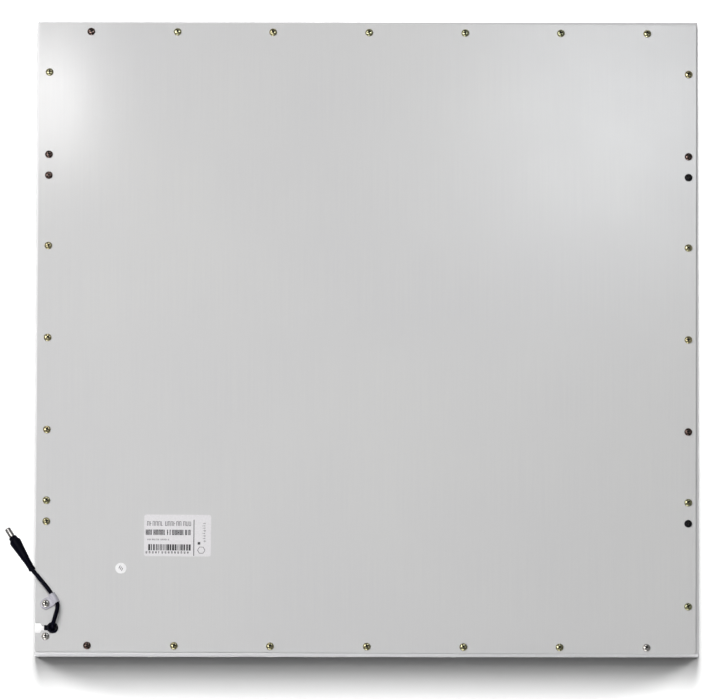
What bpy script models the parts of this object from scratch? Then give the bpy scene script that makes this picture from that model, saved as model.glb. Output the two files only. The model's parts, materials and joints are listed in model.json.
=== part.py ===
"""Edge-lit LED ceiling panel, 595 x 595 x 10 mm, lying on its bezel with the back plate up.

The bezel face is z = 0 and the light leaves towards -Z. The origin is the centre of the
bezel face. North is +Y, east is +X. The short DC lead comes out of a grommet at the
south-west corner, is held by a P-clip and ends in a moulded barrel plug beside the panel.
Every length below is in millimetres; MM turns it into Blender's metres.

The back plate, its screws and all that it carries are placed in the plate's own frame, whose
origin is the centre of the screw pattern: the plate is screwed on a little off-centre and a
sixth of a degree askew, so a narrow rim of the frame shows along its north and east edges.
"""

from math import asin, atan2, cos, hypot, pi, radians, sin

import bmesh
import bpy
from mathutils import Matrix, Vector

MM = 0.001
GAP = 0.3                      # clearance between pieces that touch on the real lamp

# Overall size
SIDE = 595.0                   # outer side of the square frame
HALF = SIDE / 2
HEIGHT = 10.0                  # bezel face to back plate's outer face

# Frame extrusion, measured inwards from its outer face and up from the bezel face
BEZEL_WIDTH = 18.5
BEZEL_THICK = 1.2
OUTER_WALL = 1.3
CHANNEL_END = 13.2
INNER_WALL_END = 14.5
TOP_WALL = 1.4
EDGE_CHAMFER = 0.5
MITRE_CLEARANCE = 0.2

# Back plate, in its own frame
PLATE_CENTRE = Vector((0.6, -1.8, 0.0))
PLATE_TURN = radians(-0.166)
PLATE_THICK = 0.8
PLATE_LOW = HEIGHT - PLATE_THICK
FRAME_TOP = PLATE_LOW - GAP
PLATE_WEST = -297.1
PLATE_EAST = 294.7
PLATE_NORTH = 297.0
PLATE_SOUTH = -294.8
PLATE_CORNER = 2.0

# Screws: one row along each side of the plate
SCREW_LINE_X = 287.8
SCREW_LINE_Y = 289.0
SCREW_STEPS = (-250.5, -172.7, -86.6, 0.0, 86.6, 172.7, 250.5)
BRACKET_STEPS = (-153.0, 153.0)
CORNER_STEP = -280.4
SCREW_SIDES = 10
SHANK_RADIUS = 1.5
HOLE_RADIUS = 2.0
HEAD_RADIUS = 3.5
HEAD_HEIGHT = 2.4
SHANK_LENGTH = 6.0
CLIP_SHANK_LENGTH = 8.0

RECESS_ARM = 1.9
RECESS_HALF_WIDTH = 0.42
RECESS_DEPTH = 1.2

# Light stack, from the bezel up
DIFFUSER_THICK = 1.5
GUIDE_THICK = 3.0
REFLECTOR_THICK = 0.2
BAR_THICK = 1.0
LED_THICK = 0.8
LED_COUNT = 18
LED_LENGTH = 5.0
BAR_HEIGHT = 4.7
BAR_HALF_LENGTH = 262.0
WIRE_DIAMETER = 1.2
KEY_ARM = 38.0

# Grommet and the keyhole slot that it sits in
GROMMET = Vector((-281.5, -272.5, 0.0))
GROMMET_FLANGE = 5.1
GROMMET_NECK = 3.9
GROMMET_BORE = 2.9
GROMMET_HEIGHT = 2.0           # above the plate
GROMMET_UNDER_FLANGE = 4.6
GROMMET_TONGUE = (-7.6, -3.2)  # x range of the tongue, from the grommet's axis
SLOT_HALF_WIDTH = 2.4
SLOT_MOUTH_HALF_WIDTH = 4.7
SLOT_MOUTH_DEPTH = 4.4

# P-clip: a strap folded round the lead, with both ends under one screw
CLIP_SCREW = Vector((-SCREW_LINE_X, SCREW_STEPS[0], 0.0))
CLIP_LOOP = Vector((-280.0, -246.0, 0.0))
CLIP_STRAP = 0.8
CLIP_BORE = 2.35
CLIP_HALF_WIDTH = 4.75
CLIP_BOTTOM = HEIGHT + 0.2

# DC lead and its moulded plug
LEAD_DIAMETER = 3.8
PLUG_TAIL = Vector((-299.9, -218.6, 11.6))
PLUG_DIRECTION = Vector((-0.485, 0.868, -0.182)).normalized()
LEAD_ROUTE = (
    (-281.5, -272.9, 8.2),
    (-281.5, -272.8, 9.6),
    (-281.5, -272.4, 10.9),
    (-281.35, -271.5, 12.7),
    (-281.0, -270.1, 14.2),
    (-280.5, -268.4, 15.2),
    (-279.95, -266.4, 15.8),
    (-279.3, -264.1, 16.0),
    (-278.6, -261.5, 15.8),
    (-277.9, -258.8, 15.4),
    (-277.3, -256.2, 14.9),
    (-277.0, -253.8, 14.4),
    (-277.1, -251.9, 14.0),
    (-277.65, -250.1, 13.6),
    (-278.75, -248.2, 13.4),
    (-280.0, -246.0, 13.35),
    (-281.25, -243.8, 13.35),
    (-282.5, -241.7, 13.3),
    (-284.1, -239.1, 13.2),
    (-286.0, -236.4, 13.1),
    (-288.0, -233.7, 13.0),
    (-290.1, -231.0, 12.9),
    (-292.3, -228.3, 12.75),
    (-294.5, -225.5, 12.6),
    (-296.6, -222.9, 12.35),
    (-298.5, -220.6, 12.0),
)
LEAD_SAMPLES = 1               # drawn points for each stretch of the route

# Labels on the back plate
LABEL_CENTRE = (-169.9, -185.6)
LABEL_SIZE = (60.0, 39.0)
LABEL_CORNER = 2.0
LABEL_TURN = radians(-0.2)
LABEL_THICK = 0.2
STICKER_CENTRE = (-220.6, -216.4)
STICKER_RADIUS = 5.0


# ---------------------------------------------------------------- scene and materials

def clear_scene():
    for old in list(bpy.data.objects):
        bpy.data.objects.remove(old, do_unlink=True)


def material(name, colour, roughness, metallic=0.0, alpha=1.0):
    made = bpy.data.materials.new(name)
    made.use_nodes = True
    shader = made.node_tree.nodes["Principled BSDF"]
    shader.inputs["Base Color"].default_value = (*colour, 1.0)
    shader.inputs["Roughness"].default_value = roughness
    shader.inputs["Metallic"].default_value = metallic
    shader.inputs["Alpha"].default_value = alpha
    return made


def plate_frame_matrix():
    return Matrix.Translation(PLATE_CENTRE) @ Matrix.Rotation(PLATE_TURN, 4, "Z")


def make_plate_frame():
    """The empty that carries the back plate and everything fastened to it."""
    empty = bpy.data.objects.new("plate_frame", None)
    bpy.context.scene.collection.objects.link(empty)
    empty.location = PLATE_CENTRE * MM
    empty.rotation_euler.z = PLATE_TURN
    return empty


def carry(carrier, *pieces):
    for piece in pieces:
        piece.parent = carrier


# ---------------------------------------------------------------- mesh helpers

def add_object(name, mesh, finish):
    made = bpy.data.objects.new(name, mesh)
    bpy.context.scene.collection.objects.link(made)
    mesh.materials.clear()
    mesh.materials.append(finish)
    return made


def mesh_from(bm, name, smooth_angle=None):
    """Closes a bmesh in millimetres into a mesh in metres, faces pointing out."""
    bmesh.ops.recalc_face_normals(bm, faces=bm.faces)
    bmesh.ops.scale(bm, vec=(MM, MM, MM), verts=bm.verts)
    mesh = bpy.data.meshes.new(name)
    bm.to_mesh(mesh)
    bm.free()
    if smooth_angle is not None:
        mesh.shade_smooth()
        mesh.set_sharp_from_angle(angle=smooth_angle)
    return mesh


def prism_bmesh(outlines, low, high):
    """Solid between two heights whose plan is the first outline less the others."""
    bm = bmesh.new()
    edges = []
    for outline in outlines:
        ring = [bm.verts.new((x, y, low)) for x, y in outline]
        edges += [bm.edges.new((a, b)) for a, b in zip(ring, ring[1:] + ring[:1])]
    bmesh.ops.triangle_fill(bm, use_beauty=True, use_dissolve=False, edges=edges)
    faces = list(bm.faces)
    grown = bmesh.ops.extrude_face_region(bm, geom=faces, use_keep_orig=True)
    lifted = [item for item in grown["geom"] if isinstance(item, bmesh.types.BMVert)]
    bmesh.ops.translate(bm, vec=(0.0, 0.0, high - low), verts=lifted)
    return bm


def prism(name, outlines, low, high, finish):
    return add_object(name, mesh_from(prism_bmesh(outlines, low, high), name), finish)


def turned_bmesh(profile, sides):
    """Turns (radius, height) points round Z. A profile that leaves the axis is a closed ring."""
    bm = bmesh.new()
    rings = []
    for radius, height in profile:
        if radius == 0.0:
            rings.append([bm.verts.new((0.0, 0.0, height))])
        else:
            angles = [2 * pi * step / sides for step in range(sides)]
            rings.append([bm.verts.new((radius * cos(a), radius * sin(a), height)) for a in angles])
    pairs = list(zip(rings, rings[1:]))
    if len(rings[0]) > 1:
        pairs.append((rings[-1], rings[0]))
    for lower, upper in pairs:
        for step in range(sides):
            after = (step + 1) % sides
            if len(lower) == 1:
                bm.faces.new((lower[0], upper[after], upper[step]))
            elif len(upper) == 1:
                bm.faces.new((lower[step], lower[after], upper[0]))
            else:
                bm.faces.new((lower[step], lower[after], upper[after], upper[step]))
    return bm


def turned(name, profile, sides, finish, smooth_angle=radians(35)):
    return add_object(name, mesh_from(turned_bmesh(profile, sides), name, smooth_angle), finish)


def cutter(name, bm):
    """A tool solid: it shapes other pieces and isn't one itself."""
    made = bpy.data.objects.new(name, mesh_from(bm, name))
    bpy.context.scene.collection.objects.link(made)
    made.hide_render = True
    made.display_type = "WIRE"
    return made


def carve(piece, tool, operation="DIFFERENCE"):
    boolean = piece.modifiers.new(tool.name, "BOOLEAN")
    boolean.operation = operation
    boolean.solver = "EXACT"
    boolean.object = tool


def join_bmeshes(parts):
    """One bmesh that holds several separate solids, each with its own offset."""
    whole = bmesh.new()
    for bm, offset in parts:
        bmesh.ops.translate(bm, vec=offset, verts=bm.verts)
        mesh = bpy.data.meshes.new("join")
        bm.to_mesh(mesh)
        bm.free()
        whole.from_mesh(mesh)
        bpy.data.meshes.remove(mesh)
    return whole


def arc(centre, radius, start, end, steps):
    """Points on an arc, both ends included; angles in radians, either way round."""
    turns = [start + (end - start) * step / steps for step in range(steps + 1)]
    return [(centre[0] + radius * cos(a), centre[1] + radius * sin(a)) for a in turns]


def rectangle(x_low, x_high, y_low, y_high):
    return [(x_low, y_low), (x_high, y_low), (x_high, y_high), (x_low, y_high)]


def rounded_rectangle(low, high, radius, steps=4):
    corners = (
        ((high[0] - radius, high[1] - radius), 0.0),
        ((low[0] + radius, high[1] - radius), pi / 2),
        ((low[0] + radius, low[1] + radius), pi),
        ((high[0] - radius, low[1] + radius), 3 * pi / 2),
    )
    points = []
    for centre, start in corners:
        points += arc(centre, radius, start, start + pi / 2, steps)
    return points


def smooth_route(points, samples):
    """Catmull-Rom curve through the points, with evenly shared samples on each stretch."""
    knots = [Vector(point) for point in points]
    knots = [2 * knots[0] - knots[1]] + knots + [2 * knots[-1] - knots[-2]]
    curve = []
    for before, start, end, after in zip(knots, knots[1:], knots[2:], knots[3:]):
        for step in range(samples):
            t = step / samples
            curve.append(0.5 * (
                2 * start
                + (end - before) * t
                + (2 * before - 5 * start + 4 * end - after) * t ** 2
                + (3 * start - before - 3 * end + after) * t ** 3
            ))
    return curve + [knots[-2]]


def cable(name, points, diameter, resolution, finish):
    data = bpy.data.curves.new(name, "CURVE")
    data.dimensions = "3D"
    data.bevel_depth = diameter / 2 * MM
    data.bevel_resolution = resolution
    data.use_fill_caps = True
    spline = data.splines.new("POLY")
    spline.points.add(len(points) - 1)
    for slot, point in zip(spline.points, points):
        slot.co = (*(Vector(point) * MM), 1.0)
    made = bpy.data.objects.new(name, data)
    bpy.context.scene.collection.objects.link(made)
    data.materials.append(finish)
    return made


# ---------------------------------------------------------------- screws

def screw_places():
    """Name, place and finish key of each screw in the back plate."""
    bronze = {
        ("west", 172.7), ("west", 153.0), ("east", 172.7), ("east", 153.0),
        ("east", -86.6), ("east", -172.7), ("south", -250.5), ("north", -250.5),
    }
    nickel = {("west", -250.5), ("west", CORNER_STEP), ("south", 250.5)}
    sides = {
        "north": (SCREW_STEPS, lambda step: (step, SCREW_LINE_Y)),
        "south": (SCREW_STEPS, lambda step: (step, -SCREW_LINE_Y)),
        "west": (
            sorted(SCREW_STEPS + BRACKET_STEPS + (CORNER_STEP,)),
            lambda step: (-SCREW_LINE_X, step),
        ),
        "east": (sorted(SCREW_STEPS + BRACKET_STEPS), lambda step: (SCREW_LINE_X, step)),
    }
    places = []
    for side, (steps, where) in sides.items():
        for number, step in enumerate(steps, start=1):
            key = "bronze" if (side, step) in bronze else "zinc"
            key = "nickel" if (side, step) in nickel else key
            places.append((f"screw_{side}_{number:02d}", where(step), key))
    return places


def screw_hole_tool(places, carrier):
    low, high = 2.0, CLIP_BOTTOM + 2 * CLIP_STRAP + 2 * GAP
    parts = []
    for _, (x, y), _ in places:
        hole = turned_bmesh(((0.0, low), (HOLE_RADIUS, low), (HOLE_RADIUS, high), (0.0, high)), 8)
        parts.append((hole, (x, y, 0.0)))
    tool = cutter("screw_hole_cutter", join_bmeshes(parts))
    carry(carrier, tool)
    return tool


def screw_mesh(name, shank_length):
    """Pan-head tapping screw with a cross recess; the head's underside is at z = 0."""
    profile = (
        (0.0, -shank_length),
        (SHANK_RADIUS, -shank_length + 1.6),
        (SHANK_RADIUS, 0.0),
        (HEAD_RADIUS, 0.0),
        (HEAD_RADIUS, 0.7),
        (HEAD_RADIUS * 0.82, HEAD_HEIGHT * 0.72),
        (HEAD_RADIUS * 0.42, HEAD_HEIGHT * 0.97),
        (0.0, HEAD_HEIGHT),
    )
    arm, half_width = RECESS_ARM, RECESS_HALF_WIDTH
    cross = [
        (arm, -half_width), (arm, half_width), (half_width, half_width), (half_width, arm),
        (-half_width, arm), (-half_width, half_width), (-arm, half_width), (-arm, -half_width),
        (-half_width, -half_width), (-half_width, -arm), (half_width, -arm),
        (half_width, -half_width),
    ]
    blank = cutter(name + "_blank", turned_bmesh(profile, SCREW_SIDES))
    tool = cutter(name + "_recess", prism_bmesh([cross], HEAD_HEIGHT - RECESS_DEPTH, HEAD_HEIGHT + 1.0))
    carve(blank, tool)
    evaluated = blank.evaluated_get(bpy.context.evaluated_depsgraph_get())
    mesh = bpy.data.meshes.new_from_object(evaluated)
    mesh.name = name
    mesh.shade_smooth()
    mesh.set_sharp_from_angle(angle=radians(35))
    bpy.data.objects.remove(blank, do_unlink=True)
    bpy.data.objects.remove(tool, do_unlink=True)
    return mesh


def make_screws(places, carrier):
    finishes = {
        "zinc": material("yellow_zinc", (0.42, 0.36, 0.2), 0.35, 1.0),
        "bronze": material("dark_bronze", (0.14, 0.09, 0.06), 0.4, 1.0),
        "nickel": material("nickel", (0.55, 0.54, 0.52), 0.3, 1.0),
    }
    plain = screw_mesh("screw_mesh", SHANK_LENGTH)
    long = screw_mesh("long_screw_mesh", CLIP_SHANK_LENGTH)
    for name, (x, y), key in places:
        holds_clip = (Vector((x, y, 0.0)) - CLIP_SCREW).length < GAP
        mesh = (long if holds_clip else plain).copy()
        seat = CLIP_BOTTOM + 2 * CLIP_STRAP + GAP if holds_clip else HEIGHT
        made = add_object(name, mesh, finishes[key])
        made.location = (x * MM, y * MM, (seat + GAP) * MM)
        carry(carrier, made)


# ---------------------------------------------------------------- frame

def frame_side(name, turn, finish):
    """One mitred length of the hollow extrusion, along Y at x = -HALF before it is turned."""
    wall_low, wall_high = BEZEL_THICK, FRAME_TOP - TOP_WALL
    outside = [
        (EDGE_CHAMFER, 0.0), (BEZEL_WIDTH, 0.0), (BEZEL_WIDTH, BEZEL_THICK),
        (INNER_WALL_END, BEZEL_THICK), (INNER_WALL_END, FRAME_TOP), (EDGE_CHAMFER, FRAME_TOP),
        (0.0, FRAME_TOP - EDGE_CHAMFER), (0.0, EDGE_CHAMFER),
    ]
    channel = rectangle(OUTER_WALL, CHANNEL_END, wall_low, wall_high)
    bm = prism_bmesh([outside, channel], -1.0, 1.0)
    for vert in bm.verts:
        inward, up, along = vert.co
        short = max(inward, 2 * EDGE_CHAMFER - inward) + MITRE_CLEARANCE
        vert.co = (inward - HALF, along * (HALF - short), up)
    side = add_object(name, mesh_from(bm, name), finish)
    side.rotation_euler.z = turn
    return side


def make_frame(screw_holes, carrier):
    finish = material("white_powder_coat", (0.82, 0.82, 0.81), 0.4)
    sides = {"west": 0.0, "south": pi / 2, "east": pi, "north": -pi / 2}
    made = {key: frame_side("frame_side_" + key, turn, finish) for key, turn in sides.items()}
    for side in made.values():
        carve(side, screw_holes)
    recess = turned_bmesh(((0.0, 5.4), (5.2, 5.4), (5.2, 12.0), (0.0, 12.0)), 16)
    bmesh.ops.translate(recess, vec=GROMMET, verts=recess.verts)
    recess_tool = cutter("cable_recess_cutter", recess)
    carry(carrier, recess_tool)
    carve(made["west"], recess_tool)


def make_corner_keys(screw_holes):
    """L-shaped keys that slide into the channels of two sides and square up each mitre."""
    finish = material("pressed_steel", (0.45, 0.45, 0.46), 0.45, 1.0)
    arm, near, far = KEY_ARM, OUTER_WALL + GAP, CHANNEL_END - GAP
    outline = [(near, near), (arm, near), (arm, far), (far, far), (far, arm), (near, arm)]
    outline = [(x - HALF, y - HALF) for x, y in outline]
    low, high = BEZEL_THICK + GAP, FRAME_TOP - TOP_WALL - GAP
    for number, place in enumerate(("sw", "se", "ne", "nw")):
        key = prism("corner_key_" + place, [outline], low, high, finish)
        key.rotation_euler.z = number * pi / 2
        if place == "sw":
            carve(key, screw_holes)


# ---------------------------------------------------------------- light stack

def chamfered_sheet(half_x, half_y, chamfer):
    quarter = [(half_x, half_y - chamfer), (half_x - chamfer, half_y)]
    points = list(quarter)
    points += [(-x, y) for x, y in reversed(quarter)]
    points += [(-x, -y) for x, y in quarter]
    points += [(x, -y) for x, y in reversed(quarter)]
    return points


def notched_sheet(half_x, half_y):
    """A rectangle without its south-west corner, which the lead needs."""
    notch_x, notch_y = GROMMET.x + 7.5, GROMMET.y + 11.0
    return [
        (half_x, half_y), (-half_x, half_y), (-half_x, notch_y), (notch_x, notch_y),
        (notch_x, -half_y), (half_x, -half_y),
    ]


def make_light_stack():
    bar_face = INNER_WALL_END + GAP + BAR_THICK
    half_x = HALF - bar_face - LED_THICK - GAP
    half_y = HALF - INNER_WALL_END - 2.0
    half_diffuser = HALF - INNER_WALL_END - 0.4
    diffuser_low = BEZEL_THICK + GAP
    guide_low = diffuser_low + DIFFUSER_THICK + GAP
    reflector_low = guide_low + GUIDE_THICK + GAP
    pad_low = reflector_low + REFLECTOR_THICK + GAP
    prism(
        "diffuser",
        [chamfered_sheet(half_diffuser, half_diffuser, 1.0)],
        diffuser_low,
        diffuser_low + DIFFUSER_THICK,
        material("opal_diffuser", (0.9, 0.9, 0.88), 0.5),
    )
    prism(
        "light_guide",
        [chamfered_sheet(half_x, half_y, 3.0)],
        guide_low,
        guide_low + GUIDE_THICK,
        material("clear_acrylic", (0.86, 0.9, 0.9), 0.08, alpha=0.5),
    )
    prism(
        "reflector",
        [notched_sheet(half_x, half_y)],
        reflector_low,
        reflector_low + REFLECTOR_THICK,
        material("reflector_film", (0.93, 0.93, 0.93), 0.35),
    )
    prism(
        "foam_pad",
        [notched_sheet(half_x, half_y)],
        pad_low,
        PLATE_LOW - GAP,
        material("pressure_foam", (0.75, 0.75, 0.74), 0.9),
    )
    return guide_low


def led_bar(name, turn, low, board_finish):
    """A board on edge against the frame's inner wall, with its LEDs facing the light guide."""
    back = HALF - INNER_WALL_END - GAP
    face = back - BAR_THICK
    board = rectangle(-back, -face, -BAR_HALF_LENGTH, BAR_HALF_LENGTH)
    bar = prism(name, [board], low, low + BAR_HEIGHT, board_finish)
    pitch = 2 * BAR_HALF_LENGTH / LED_COUNT
    parts = []
    for number in range(LED_COUNT):
        along = (number + 0.5) * pitch - BAR_HALF_LENGTH
        spot = rectangle(-face - 0.4, -face + LED_THICK, along - LED_LENGTH / 2, along + LED_LENGTH / 2)
        parts.append((prism_bmesh([spot], low + 0.3, low + 2.7), (0.0, 0.0, 0.0)))
    leds = cutter(name + "_leds", join_bmeshes(parts))
    carve(bar, leds, "UNION")
    bar.rotation_euler.z = turn
    leds.rotation_euler.z = turn


def make_leds_and_wires(guide_low):
    board = material("led_board", (0.86, 0.86, 0.84), 0.4)
    led_bar("led_bar_west", 0.0, guide_low, board)
    led_bar("led_bar_east", pi, guide_low, board)
    line, end, bend = HALF - INNER_WALL_END - 0.95, BAR_HALF_LENGTH + GAP, 3.0
    height = guide_low + 1.6
    west = arc((bend - line, bend - line), bend, pi, 3 * pi / 2, 4)
    east = [(-x, y) for x, y in reversed(west)]
    path = [(-line, -end)] + west + east + [(line, -end)]
    wire = material("white_wire", (0.8, 0.8, 0.78), 0.5)
    cable("link_wire", [(x, y, height) for x, y in path], WIRE_DIAMETER, 0, wire)
    start = plate_frame_matrix() @ GROMMET
    inner_route = (
        (start.x + 0.6, start.y, 7.2),
        (start.x + 0.1, start.y + 2.0, 7.2),
        (-line + 0.1, start.y + 5.0, 7.1),
        (-line, start.y + 8.0, 7.0),
        (-line, -end, 7.0),
    )
    red = material("red_wire", (0.5, 0.04, 0.03), 0.5)
    cable("inner_lead", smooth_route(inner_route, 2), WIRE_DIAMETER, 1, red)


# ---------------------------------------------------------------- back plate and grommet

def plate_outline():
    """The plate seen from above, anticlockwise, with the keyhole slot at its west edge."""
    def corner(x, y, start):
        return arc((x, y), PLATE_CORNER, start, start + pi / 2, 3)

    r = PLATE_CORNER
    points = corner(PLATE_WEST + r, PLATE_SOUTH + r, pi)
    points += corner(PLATE_EAST - r, PLATE_SOUTH + r, 3 * pi / 2)
    points += corner(PLATE_EAST - r, PLATE_NORTH - r, 0.0)
    points += corner(PLATE_WEST + r, PLATE_NORTH - r, pi / 2)
    hole = GROMMET_NECK + GAP
    spread = asin(SLOT_HALF_WIDTH / hole)
    upper = [
        (PLATE_WEST, SLOT_MOUTH_HALF_WIDTH),
        (PLATE_WEST + SLOT_MOUTH_DEPTH, SLOT_MOUTH_HALF_WIDTH),
        (PLATE_WEST + SLOT_MOUTH_DEPTH + 1.4, SLOT_HALF_WIDTH),
    ]
    round_hole = arc((GROMMET.x, 0.0), hole, pi - spread, spread - pi, 14)
    slot = upper + round_hole + [(x, -y) for x, y in reversed(upper)]
    return points + [(x, y + GROMMET.y) for x, y in slot]


def make_back_plate(screw_holes, carrier):
    finish = material("grey_powder_coat", (0.6, 0.6, 0.6), 0.42)
    plate = prism("back_plate", [plate_outline()], PLATE_LOW, HEIGHT, finish)
    carry(carrier, plate)
    carve(plate, screw_holes)


def make_grommet(carrier):
    """Rubber grommet with a flange on each face of the plate and a tongue in the slot."""
    top = HEIGHT + GROMMET_HEIGHT
    profile = (
        (GROMMET_BORE, PLATE_LOW - 1.0),
        (GROMMET_UNDER_FLANGE, PLATE_LOW - 1.0),
        (GROMMET_UNDER_FLANGE, PLATE_LOW - GAP),
        (GROMMET_NECK, PLATE_LOW - GAP),
        (GROMMET_NECK, HEIGHT + GAP),
        (GROMMET_FLANGE, HEIGHT + GAP),
        (GROMMET_FLANGE, top - 0.7),
        (GROMMET_FLANGE - 0.7, top),
        (GROMMET_BORE + 0.4, top),
        (GROMMET_BORE, top - 0.4),
    )
    rubber = material("black_rubber", (0.012, 0.012, 0.013), 0.55)
    grommet = turned("cable_grommet", profile, 18, rubber)
    grommet.location = GROMMET * MM
    half = SLOT_HALF_WIDTH - GAP
    reach = [GROMMET.x + end for end in GROMMET_TONGUE]
    tongue = rectangle(*reach, GROMMET.y - half, GROMMET.y + half)
    tool = cutter("grommet_tongue", prism_bmesh([tongue], PLATE_LOW + 0.05, HEIGHT + 1.0))
    carry(carrier, grommet, tool)
    carve(grommet, tool, "UNION")


# ---------------------------------------------------------------- lead, clip and plug

def make_p_clip(screw_holes, carrier):
    reach = CLIP_LOOP - CLIP_SCREW
    loop = hypot(reach.x, reach.y)
    outer = CLIP_BORE + CLIP_STRAP
    tab_end = -CLIP_HALF_WIDTH
    low = CLIP_BOTTOM
    centre = (loop, low + outer)
    lower_top = low + CLIP_STRAP
    upper_low = lower_top + GAP
    upper_top = upper_low + CLIP_STRAP
    outer_angle = pi + asin((centre[1] - upper_top) / outer)
    inner_angle = pi + asin((centre[1] - upper_low) / CLIP_BORE)
    section = [(tab_end, low)]
    section += arc(centre, outer, -pi / 2, outer_angle, 14)
    section += [(tab_end, upper_top), (tab_end, upper_low)]
    section += arc(centre, CLIP_BORE, inner_angle, -pi / 2, 14)
    section += [(tab_end, lower_top)]
    bm = prism_bmesh([section], -CLIP_HALF_WIDTH, CLIP_HALF_WIDTH)
    along = Vector((reach.x, reach.y, 0.0)).normalized()
    across = along.cross(Vector((0.0, 0.0, 1.0)))
    turn = Matrix((
        (along.x, 0.0, across.x, CLIP_SCREW.x),
        (along.y, 0.0, across.y, CLIP_SCREW.y),
        (0.0, 1.0, 0.0, 0.0),
        (0.0, 0.0, 0.0, 1.0),
    ))
    bmesh.ops.transform(bm, matrix=turn, verts=bm.verts)
    clip = add_object(
        "p_clip",
        mesh_from(bm, "p_clip", radians(35)),
        material("clear_nylon", (0.85, 0.86, 0.88), 0.25, alpha=0.5),
    )
    carve(clip, screw_holes)
    plan = [(loop + 5.0, CLIP_HALF_WIDTH)]
    plan += arc((0.0, 0.0), CLIP_HALF_WIDTH, pi / 2, 3 * pi / 2, 10)
    plan += [(loop + 5.0, -CLIP_HALF_WIDTH)]
    shape = prism_bmesh([plan], low - 1.0, centre[1] + outer + 1.0)
    bmesh.ops.rotate(shape, matrix=Matrix.Rotation(atan2(along.y, along.x), 3, "Z"), verts=shape.verts)
    bmesh.ops.translate(shape, vec=CLIP_SCREW, verts=shape.verts)
    plan_tool = cutter("p_clip_plan", shape)
    carry(carrier, clip, plan_tool)
    carve(clip, plan_tool, "INTERSECT")


def plug_piece(name, profile, finish, carrier):
    """A turned piece whose Z axis lies along the plug, with z = 0 at the plug's tail."""
    piece = turned(name, profile, 16, finish)
    piece.rotation_mode = "QUATERNION"
    piece.rotation_quaternion = PLUG_DIRECTION.to_track_quat("Z", "Y")
    piece.location = PLUG_TAIL * MM
    carry(carrier, piece)


def make_plug(carrier):
    moulded = material("black_moulding", (0.015, 0.015, 0.017), 0.45)
    relief_end, body_end = 12.5, 37.5
    ribs = 4
    pitch = (relief_end - 1.6) / ribs
    relief = [(0.0, 0.0), (2.8, 0.0), (2.9, 0.9)]
    for number in range(ribs):
        start = 1.3 + number * pitch
        grown = 0.12 * number
        relief += [(2.35 + grown, start), (2.35 + grown, start + 0.8), (2.9 + grown, start + 1.1)]
        relief += [(2.9 + grown, start + pitch - 0.3)]
    relief += [(3.4, relief_end), (0.0, relief_end)]
    plug_piece("plug_strain_relief", relief, moulded, carrier)
    body = (
        (0.0, relief_end + GAP), (3.5, relief_end + GAP), (3.9, 17.5), (4.6, 25.0), (5.2, 31.0),
        (5.2, 32.6), (4.5, 33.9), (3.8, 34.1), (3.8, body_end - 0.4), (3.4, body_end), (0.0, body_end),
    )
    plug_piece("plug_body", body, moulded, carrier)
    metal = material("plated_barrel", (0.62, 0.61, 0.6), 0.2, 1.0)
    base, tip = body_end + GAP, 47.1
    barrel = (
        (2.1, base), (2.75, base), (2.75, tip - 0.4), (2.45, tip), (2.1, tip),
    )
    plug_piece("plug_barrel", barrel, metal, carrier)
    insulator = ((1.05, base), (2.1 - GAP, base), (2.1 - GAP, tip - 0.3), (1.05, tip - 0.3))
    dark = material("insulator", (0.02, 0.02, 0.02), 0.5)
    plug_piece("plug_insulator", insulator, dark, carrier)


def make_lead(carrier):
    end = PLUG_TAIL - PLUG_DIRECTION * GAP
    route = LEAD_ROUTE + (tuple(end),)
    jacket = material("black_jacket", (0.014, 0.014, 0.016), 0.5)
    carry(carrier, cable("dc_lead", smooth_route(route, LEAD_SAMPLES), LEAD_DIAMETER, 2, jacket))


# ---------------------------------------------------------------- labels

def make_labels(carrier):
    paper = material("white_label", (0.9, 0.9, 0.9), 0.4)
    low = HEIGHT + GAP
    half = (LABEL_SIZE[0] / 2, LABEL_SIZE[1] / 2)
    outline = rounded_rectangle((-half[0], -half[1]), half, LABEL_CORNER)
    label = prism("rating_label", [outline], low, low + LABEL_THICK, paper)
    label.rotation_euler.z = LABEL_TURN
    label.location = (LABEL_CENTRE[0] * MM, LABEL_CENTRE[1] * MM, 0.0)
    disc = arc((0.0, 0.0), STICKER_RADIUS, 0.0, 2 * pi, 24)[:-1]
    sticker = prism("round_sticker", [disc], low, low + LABEL_THICK, paper)
    sticker.location = (STICKER_CENTRE[0] * MM, STICKER_CENTRE[1] * MM, 0.0)
    carry(carrier, label, sticker)


# ---------------------------------------------------------------- build

def build():
    clear_scene()
    plate_frame = make_plate_frame()
    places = screw_places()
    make_screws(places, plate_frame)
    screw_holes = screw_hole_tool(places, plate_frame)
    make_frame(screw_holes, plate_frame)
    make_corner_keys(screw_holes)
    guide_low = make_light_stack()
    make_leds_and_wires(guide_low)
    make_back_plate(screw_holes, plate_frame)
    make_grommet(plate_frame)
    make_p_clip(screw_holes, plate_frame)
    make_lead(plate_frame)
    make_plug(plate_frame)
    make_labels(plate_frame)


build()
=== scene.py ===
import json
from math import asin, atan2, cos, pi, radians, sin

import bmesh
import bpy
from mathutils import Matrix, Vector
from random import Random


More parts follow.
